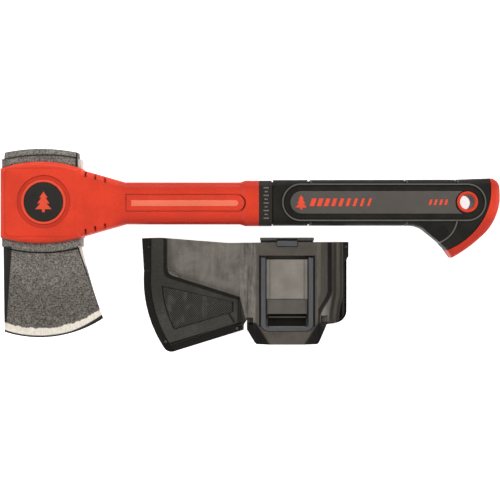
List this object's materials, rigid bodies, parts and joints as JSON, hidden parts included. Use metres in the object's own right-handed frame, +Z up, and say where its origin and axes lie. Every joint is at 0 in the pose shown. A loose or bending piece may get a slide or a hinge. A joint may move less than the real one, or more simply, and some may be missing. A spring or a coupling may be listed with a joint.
{
  "type": "camp hatchet with belt sheath",
  "caption": "Camp hatchet with an overmoulded pistol-hook grip and a lanyard eyelet, lying beside its hard belt sheath with a hinged spring clip.",
  "frame": {"origin": "middle of the layout's footprint, on the surface that hatchet and sheath lie on", "axes": "+X along the handle from the head to the butt, -Y the way the cutting edge points, +Z up from the surface"},
  "size_m": [0.356, 0.1455, 0.0352],
  "materials": {
    "forged_steel": "dark coated forging with a bright ground edge",
    "core_nylon": "glass-filled nylon",
    "orange_moulding": "satin orange-red",
    "badge_black": "smooth black",
    "pale_inlay": "pale salmon, satin",
    "grip_rubber": "fine matte texture",
    "grip_panel": "smooth dark satin",
    "dark_metal": "blackened",
    "sheath_plastic": "dark grey, glossy fields between matte ribs",
    "sheath_grip": "fine diamond knurl",
    "clip_black": "satin black",
    "clip_grey": "mid grey, satin",
    "spring_steel": "bright"
  },
  "bodies": {
    "hatchet": {"axe_head": "forged_steel", "handle_core": "core_nylon", "shaft_overmold": "orange_moulding", "badge_upper": "badge_black", "badge_lower": "badge_black", "shaft_inlay_upper": "pale_inlay", "shaft_inlay_lower": "pale_inlay", "grip_band": "grip_rubber", "grip_overmold": "grip_rubber", "grip_inlay_upper": "grip_panel", "grip_inlay_lower": "grip_panel", "pommel_cap": "orange_moulding", "lanyard_eyelet": "orange_moulding"},
    "sheath": {"sheath_back_shell": "sheath_plastic", "sheath_blade_cover": "sheath_plastic", "sheath_poll_cover": "sheath_plastic", "sheath_texture_pad": "sheath_grip", "sheath_rivets": "dark_metal", "clip_base": "clip_black", "hinge_pin": "dark_metal", "clip_spring": "spring_steel"},
    "belt_clip": {"belt_clip_lever": "clip_grey"}
  },
  "joints": [
    {"name": "sheath_lift", "type": "slide", "parent": "hatchet", "child": "sheath", "axis": [0, 0, 1], "range_m": [0, 0.1]},
    {"name": "clip_open", "type": "hinge", "parent": "sheath", "child": "belt_clip", "pos_m": [0.0261, -0.0002, 0.0312], "axis": [-1, 0, 0], "range_deg": [0, 12], "stiffness_Nm_per_rad": 0.6, "springref_deg": -8.59, "deforming": ["clip_spring"]}
  ]
}
